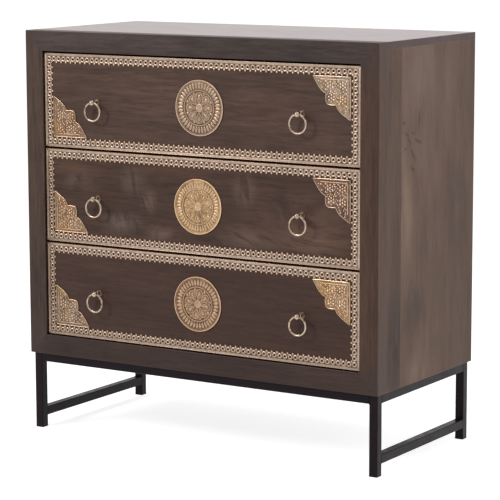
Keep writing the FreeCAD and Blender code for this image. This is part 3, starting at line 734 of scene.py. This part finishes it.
def petal(length, width, height, foot, steps=((0.6, 0.84), (0.4, 0.5))):
    """A leaf along +Z from its point at the origin, raised in steps of rise and size."""
    centre_z = length - width / 2
    piece = start("circle", vertices=10, radius=width / 2, fill_type="NGON",
                  location=(0, -foot, centre_z), rotation=(math.radians(90), 0, 0))
    choose(piece, lambda v: v.z < length - 0.999 * width)
    bpy.ops.transform.translate(value=(0, 0, width - length))
    bpy.ops.mesh.select_all(action="SELECT")
    level = foot
    for rise, size in steps:
        level += rise * height
        bpy.ops.mesh.extrude_region_move(TRANSFORM_OT_translate={"value": (0, -rise * height, 0)})
        bpy.ops.transform.resize(value=(size, 1, size), center_override=(0, -level, 0.6 * length))
    bpy.ops.mesh.select_all(action="SELECT")
    bpy.ops.mesh.normals_make_consistent(inside=False)
    bpy.ops.object.mode_set(mode="OBJECT")
    return piece


def about(angle, x=0.0, z=0.0, out=0.0):
    """Turned by an angle from upright, about a point, and moved out along that angle."""
    turned = Matrix.Rotation(math.radians(angle), 4, "Y")
    return Matrix.Translation((x, 0, z)) @ turned @ Matrix.Translation((0, 0, out))


def ringed(piece, count, out, x=0.0, z=0.0, first=0.0):
    """A piece repeated evenly round a point."""
    return [laid(piece, about(first + 360 * k / count, x, z, out)) for k in range(count)]


def flat_outline(runs, thick, edge, filled, offset=0.0):
    """A flat closed outline of curved runs, each a start and two handles in X and Z, made a mesh."""
    bpy.ops.object.select_all(action="DESELECT")
    bpy.ops.curve.primitive_bezier_circle_add(rotation=(math.radians(90), 0, 0))
    drawing = bpy.context.object
    drawing.data.dimensions = "2D" if filled else "3D"
    points = drawing.data.splines[0].bezier_points
    points.add(len(runs) - len(points))
    for point in points:
        point.handle_left_type = point.handle_right_type = "FREE"
    for here, there, (knot, first, second) in zip(points, [*points[1:], points[0]], runs):
        here.co = (*knot, 0)
        here.handle_right = (*first, 0)
        there.handle_left = (*second, 0)
    drawing.data.resolution_u = 8
    drawing.data.fill_mode = "BOTH" if filled else "FULL"
    drawing.data.extrude = thick
    drawing.data.bevel_depth = edge
    drawing.data.bevel_resolution = 2
    drawing.data.offset = offset
    bpy.ops.object.convert(target="MESH")
    bpy.ops.object.transform_apply()
    return bpy.context.object


plates_low, plates_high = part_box("top_drawer_corner_plates")
leg, far_cusp, near_cusp = 0.0875, 0.0570, 0.0330
cusped = [
    ((0, 0), (0.3 * leg, 0), (0.7 * leg, 0)),
    ((leg, 0), (0.0790, 0.0100), (0.0720, 0.0290)),
    ((far_cusp, near_cusp), (0.0575, 0.0580), (0.0580, 0.0575)),
    ((near_cusp, far_cusp), (0.0290, 0.0720), (0.0100, 0.0790)),
    ((0, leg), (0, 0.7 * leg), (0, 0.3 * leg)),
]
ground_half, ground_ease, rim_radius, rim_inset = 0.0004, 0.0002, 0.0011, 0.0009
ground = flat_outline(cusped, ground_half, ground_ease, True)
rim = flat_outline(cusped, 0.0, rim_radius, False, -rim_inset)
leaf_foot, leaf_height = 0.0007, 0.0014
flower_petal = petal(0.0062, 0.0048, 0.0015, leaf_foot)
flower_eye = drawn(8, [(0.0024, 0.0008), (0.0020, 0.0019), (0.0009, 0.0024)])
leaf = petal(0.0086, 0.0038, leaf_height, leaf_foot)
spray_length = 0.0130
spray = petal(spray_length, 0.0046, leaf_height, leaf_foot)
bud = drawn(8, [(0.0019, 0.0008), (0.0016, 0.0017), (0.0007, 0.0021)])
line_inset, line_length, line_width, line_thick, line_ease = 0.0042, 0.068, 0.0021, 0.0021, 0.0005
line = slat(line_length, 0.0, line_width, line_thick, line_ease)
along_leg = Matrix.Translation((line_inset + line_length / 2, 0, line_inset))
up_leg = Matrix.Rotation(math.radians(-90), 4, "Y") @ Matrix.Scale(-1, 4, (0, 0, 1)) @ along_leg
parts = [laid(ground, Matrix.Translation((0, -ground_half - ground_ease, 0))),
         laid(rim, Matrix.Translation((0, -rim_radius, 0))), laid(line, along_leg), laid(line, up_leg)]
parts[-1].data.flip_normals()
flowers = [(0.0175, 0.0175), (0.0470, 0.0175), (0.0175, 0.0470), (0.0445, 0.0445)]
flower_petals, flower_heart = 6, 0.0030
for x, z in flowers:
    parts += ringed(flower_petal, flower_petals, flower_heart, x, z)
    parts.append(laid(flower_eye, Matrix.Translation((x, 0, z))))
sprays = [(0.0600, 0.0110, 92), (0.0590, 0.0180, 62), (0.0110, 0.0600, -2), (0.0180, 0.0590, 28),
          (0.0220, 0.0310, 5), (0.0310, 0.0220, 85), (0.0265, 0.0265, 45)]
for x, z, angle in sprays:
    parts.append(laid(spray, about(angle, x, z)))
cusp_points = []
for (knot, first, second), (end, _, _) in zip(cusped[1:4], cusped[2:]):
    cusp_points += interpolate_bezier(*[Vector(p) for p in (knot, first, second, end)], 12)
flower_room, spray_room, edge_room, leaf_setback = 0.0100, 0.0050, 0.0042, 0.0040
taken = [(Vector(flower), flower_room) for flower in flowers]
spray_middle = Vector((0, 0, spray_length / 2))
taken += [((about(angle, x, z) @ spray_middle).xz, spray_room) for x, z, angle in sprays]
fill_margin, fill_step, fill_rise, fill_rows = 0.0092, 0.0049, 0.87, 19
for number in range(fill_rows ** 2):
    column, storey = number % fill_rows, number // fill_rows
    spot = Vector((fill_step * (column + 0.5 * (storey % 2)), fill_rise * fill_step * storey))
    spot += Vector((fill_margin, fill_margin))
    reach = min(p.length for p in cusp_points if abs(p.angle_signed(spot)) < math.radians(3))
    if spot.length + edge_room < reach and all((spot - heart).length > room for heart, room in taken):
        angle = 90 - math.degrees(math.atan2(spot.y, spot.x))
        outward = about(angle, *spot, -leaf_setback * (number % 2))
        parts.append(laid((bud, leaf)[number % 2], outward))
plate = gathered("plate", parts)
plate_finish = {
    ("top", "left"): (paint(182, 154, 130), paint(86, 60, 42), 0.0007),
    ("top", "right"): (paint(210, 186, 165), paint(81, 58, 41), 0.0007),
    ("middle", "left"): (paint(190, 162, 136), paint(94, 66, 44), 0.0007),
    ("middle", "right"): (paint(199, 176, 162), paint(97, 68, 51), 0.0010),
    ("bottom", "left"): (paint(192, 168, 147), paint(78, 56, 39), 0.0007),
    ("bottom", "right"): (paint(212, 181, 150), paint(102, 73, 48), 0.0007),
}
plate_high, plate_gold = 0.0020, 0.8
half_turn = Matrix.Rotation(math.pi, 4, "Y")
for drawer in drawers:
    lift = middle_z[drawer] - middle_z["top"]
    corners = {"left": Matrix.Translation((plates_low.x, face_y, plates_low.z + lift)),
               "right": Matrix.Translation((plates_high.x, face_y, plates_high.z + lift)) @ half_turn}
    for side, place in corners.items():
        piece = laid(plate, place, f"{drawer}_drawer_{side}_brass_corner")
        bright, brown, low = plate_finish[drawer, side]
        brass = antique_brass(f"{drawer}_{side}_plate_brass", bright, brown, low, plate_high, plate_gold)
        fitted(piece, drawer + "_drawer", "brass_trim", brass, drawer + "_drawer_corner_plates")
put_away(ground, rim, line, flower_petal, flower_eye, leaf, spray, bud, plate)

# The medallions: round cast brass plaques, one in the middle of each drawer, with a rim
# rubbed bright, a belt of tongues, a raised ring and a flower of eight petals.  The middle
# one is a finer casting with ten petals, brighter and more golden.
medallion_ground, medallion_rim, medallion_sides = 0.0009, 0.0026, 64


def medallion(radius, tongues, belt, lobes):
    """A plaque about the origin; belt is the inner and outer radius of the tongues."""
    inner, outer = belt
    step = 2 * math.pi * (inner + outer) / 2 / tongues
    ring_radius = inner - 0.0030
    lobe_foot, lobe_reach = 0.0080, ring_radius - 0.0108
    lobe_width = 0.94 * 2 * math.pi * (lobe_foot + 0.72 * lobe_reach) / lobes
    disc = drawn(medallion_sides, [(radius - 0.0003, 0.0), (radius - 0.0003, 0.0008),
                                   (radius - 0.0008, 0.0011), (0.01, 0.0012)])
    rim = drawn(medallion_sides, [(radius, 0.0), (radius, 0.0019), (radius - 0.0006, medallion_rim),
                                  (radius - 0.0021, medallion_rim), (radius - 0.0027, 0.0014),
                                  (outer + 0.0010, 0.0015), (outer + 0.0006, medallion_ground)], True)
    ring = drawn(medallion_sides, [(ring_radius + 0.0014, medallion_ground),
                                   (ring_radius + 0.0010, 0.0024), (ring_radius - 0.0010, 0.0024),
                                   (ring_radius - 0.0014, medallion_ground)], True)
    tongue = drawn(12, [(0.41 * step, medallion_ground), (0.40 * step, 0.0017), (0.31 * step, 0.0021)])
    tongue.data.transform(Matrix.Scale((outer - inner) / (0.82 * step), 4, (0, 0, 1)))
    cupped = ((1.0, 0.92), (0.0, 0.84), (-0.6, 0.9))
    lobe = petal(lobe_reach, lobe_width, 0.0012, medallion_ground, cupped)
    fold = petal(0.62 * lobe_reach, 0.40 * lobe_width, 0.0013, medallion_ground)
    vein = petal(0.26 * lobe_reach, 0.16 * lobe_width, 0.0012, medallion_ground)
    leaf = petal(0.34 * lobe_reach, 0.34 * lobe_width, 0.0012, medallion_ground)
    star = petal(0.0060, 0.0042, 0.0008, 0.0014)
    hub = drawn(24, [(0.0098, medallion_ground), (0.0094, 0.0016), (0.0084, 0.0019)])
    eye = drawn(10, [(0.0024, 0.0017), (0.0020, 0.0022), (0.0009, 0.0024)])
    whole = [disc, rim, ring, hub, eye]
    whole += ringed(tongue, tongues, (inner + outer) / 2)
    whole += ringed(lobe, lobes, lobe_foot)
    whole += ringed(fold, lobes, lobe_foot + 0.16 * lobe_reach)
    whole += ringed(vein, 2 * lobes, lobe_foot + 0.58 * lobe_reach, first=90 / lobes)
    whole += ringed(leaf, lobes, lobe_foot + 0.70 * lobe_reach, first=180 / lobes)
    whole += ringed(star, 7, 0.0026)
    put_away(tongue, lobe, fold, vein, leaf, star)
    return gathered("plaque", whole)


medallion_low, medallion_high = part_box("top_drawer_medallion")
medallion_radius = (medallion_high.x - medallion_low.x) / 2
coarse_plaque = medallion(medallion_radius, 40, (0.0406, 0.0543), 8)
fine_plaque = medallion(medallion_radius, 44, (0.0412, 0.0543), 10)
plaques = {"top": (coarse_plaque, 0), "middle": (fine_plaque, 0), "bottom": (coarse_plaque, 11)}
plaque_finish = {
    "top": (paint(172, 148, 127), paint(94, 73, 58), 0.0007, 0.0022, 0.35),
    "middle": (paint(190, 159, 125), paint(120, 94, 69), 0.0004, 0.0020, 0.2, 2.2),
    "bottom": (paint(176, 146, 121), paint(94, 71, 55), 0.0007, 0.0022, 0.35),
}
for drawer, (plaque, angle) in plaques.items():
    low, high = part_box(drawer + "_drawer_medallion")
    place = Matrix.Translation(((low.x + high.x) / 2, face_y, middle_z[drawer]))
    piece = laid(plaque, place @ about(angle), drawer + "_drawer_brass_medallion")
    brass = antique_brass(drawer + "_plaque_brass", *plaque_finish[drawer], crest=medallion_rim)
    fitted(piece, drawer + "_drawer", "brass_trim", brass, drawer + "_drawer_medallion")
put_away(coarse_plaque, fine_plaque)

# The ring pulls: a cast brass post with a rosette, a neck and a fluted ball, bolted
# through the drawer front with a hexagon nut.  A ring of round brass rod swings in an
# eye bored through the ball.
posts_low, posts_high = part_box("top_drawer_pull_posts")
tail, tail_radius, rosette_radius = posts_high.y - face_y, 0.0020, 0.0080
ball_out, ball_radius, eye_radius = 0.0175, 0.0070, 0.0038
post_sides, flutes, flute_start, flute_waist = 32, 8, 0.0128, 0.88
profile = [(tail_radius, -tail), (tail_radius, 0.0), (rosette_radius, 0.0), (rosette_radius, 0.0010),
           (0.0072, 0.0018), (0.0056, 0.0020), (0.0052, 0.0027), (0.0036, 0.0031), (0.0034, 0.0086),
           (0.0044, 0.0094), (0.0046, 0.0104), (0.0040, 0.0112)]
profile += [(ball_radius * math.sin(math.radians(a)), ball_out - ball_radius * math.cos(math.radians(a)))
            for a in (38, 52, 66, 80, 94, 108, 122, 136, 150, 164, 175)]
post = drawn(post_sides, profile)
side_angle, sides_to_a_flute = math.radians(360 / post_sides), post_sides // flutes
bpy.ops.object.mode_set(mode="EDIT")
choose(post, lambda v: v.y < -flute_start
       and round(math.atan2(v.x, v.z) / side_angle) % sides_to_a_flute == sides_to_a_flute // 2)
bpy.ops.transform.resize(value=(flute_waist, 1, flute_waist), center_override=(0, 0, 0))
bpy.ops.object.mode_set(mode="OBJECT")
eye = start("cylinder", vertices=32, radius=eye_radius, depth=4 * ball_radius, location=(0, -ball_out, 0),
            rotation=(0, math.radians(90), 0))
bpy.ops.object.mode_set(mode="OBJECT")
bore = post.modifiers.new("eye", "BOOLEAN")
bore.object = eye
bore.operation = "DIFFERENCE"
bore.solver = "EXACT"
bpy.context.view_layer.objects.active = post
bpy.ops.object.modifier_apply(modifier="eye")
put_away(eye)


def cast_brass(name, bright, brown):
    """Handled brass: bright where it is touched, browner by the wood and in cloudy patches."""
    material, tree, shader = new_finish(name)
    place = put(tree, "ShaderNodeTexCoord").outputs["Object"]
    patches = noise(tree, place, 90.0, 4.0, 0.6)
    untouched = spread(tree, above_face(tree, place), 0.002, 0.010, 0.9, 0.0)
    brown_share = reckon(tree, "MAXIMUM", spread(tree, patches, 0.5, 0.75), untouched)
    colour, roughness = tint(tree, brown_share, bright, brown), spread(tree, patches, 0.3, 0.7, 0.22, 0.4)
    shader.inputs["Metallic"].default_value = 1.0
    surfaced(tree, shader, colour, roughness, patches, 0.2, 0.0006)
    return material


pull_brass = cast_brass("pull_brass", paint(182, 161, 143), paint(102, 81, 66))
pull_x = (posts_high.x - posts_low.x) / 2 - rosette_radius
for drawer in drawers:
    pair = [laid(post, Matrix.Translation((x, face_y, middle_z[drawer]))) for x in (-pull_x, pull_x)]
    posts = gathered(drawer + "_drawer_brass_posts", pair, 32)
    fitted(posts, drawer + "_drawer", "brass_pull", pull_brass, drawer + "_drawer_pull_posts")
    nodes[drawer + "_drawer_pull_nuts"].data.materials[0] = zinc
    for side in ("left", "right"):
        nodes[f"{drawer}_drawer_{side}_ring"].data.materials[0] = pull_brass
put_away(post)

# The place that the chest stands in: a white floor that takes a soft shadow, a white
# studio behind, three large soft lamps, and the camera of the picture.
floor_size, floor_glow = 160.0, 0.82
floor = start("plane", size=floor_size)
bpy.ops.object.mode_set(mode="OBJECT")
floor.name = "floor"
floor_white, tree, shader = new_finish("floor_white")
shader.inputs["Base Color"].default_value = (0.55, 0.55, 0.55, 1)
shader.inputs["Roughness"].default_value = 0.9
shader.inputs["Specular IOR Level"].default_value = 0.0
path = put(tree, "ShaderNodeLightPath").outputs
seen = reckon(tree, "MAXIMUM", path["Is Camera Ray"], path["Is Glossy Ray"])
glow = put(tree, "ShaderNodeEmission", {"Strength": reckon(tree, "MULTIPLY", seen, floor_glow)})
glow.inputs["Color"].default_value = (1, 1, 1, 1)
lit = put(tree, "ShaderNodeAddShader", {0: shader.outputs[0], 1: glow.outputs[0]})
tree.links.new(lit.outputs[0], tree.nodes["Material Output"].inputs["Surface"])
floor.data.materials.append(floor_white)

studio_fill = 0.45
studio = bpy.data.worlds.new("studio")
bpy.context.scene.world = studio
studio.use_nodes = True
tree = studio.node_tree
path = put(tree, "ShaderNodeLightPath").outputs
seen = reckon(tree, "MAXIMUM", path["Is Camera Ray"], path["Is Transmission Ray"])
way = put(tree, "ShaderNodeSeparateXYZ", {0: put(tree, "ShaderNodeTexCoord").outputs["Generated"]}).outputs
backdrop = spread(tree, way["Y"], -0.6, 0.4, 0.3, 1.0)
mirrored = reckon(tree, "MULTIPLY", path["Is Glossy Ray"], backdrop)
strength = reckon(tree, "MAXIMUM", reckon(tree, "MAXIMUM", seen, mirrored), studio_fill)
tree.links.new(strength, tree.nodes["Background"].inputs["Strength"])
tree.nodes["Background"].inputs["Color"].default_value = (1, 1, 1, 1)

aim = Vector((0, 0, 0.5))
lamps = {
    "key_lamp": (0.9, 60, Vector((-1.7, -2.6, 2.3))),
    "top_lamp": (2.0, 30, Vector((0.4, -0.2, 3.0))),
    "side_lamp": (1.6, 25, Vector((2.8, -0.6, 1.7))),
}
for name, (size, power, place) in lamps.items():
    towards = (aim - place).to_track_quat("-Z", "Y").to_euler()
    bpy.ops.object.light_add(type="AREA", location=place, rotation=towards)
    lamp = bpy.context.object
    lamp.name = name
    lamp.data.size = size
    lamp.data.energy = power

camera_place, camera_lens, camera_sensor = (2.6494, -4.2013, 1.1935), 162.27, 36.0
camera_down, camera_roll, camera_turn = 8.874, 0.146, 32.122
rotation = [math.radians(a) for a in (90 - camera_down, camera_roll, camera_turn)]
bpy.ops.object.camera_add(location=camera_place, rotation=rotation)
camera = bpy.context.object
camera.data.lens = camera_lens
camera.data.sensor_width = camera_sensor
bpy.context.scene.camera = camera
bpy.context.scene.view_settings.view_transform = "Standard"
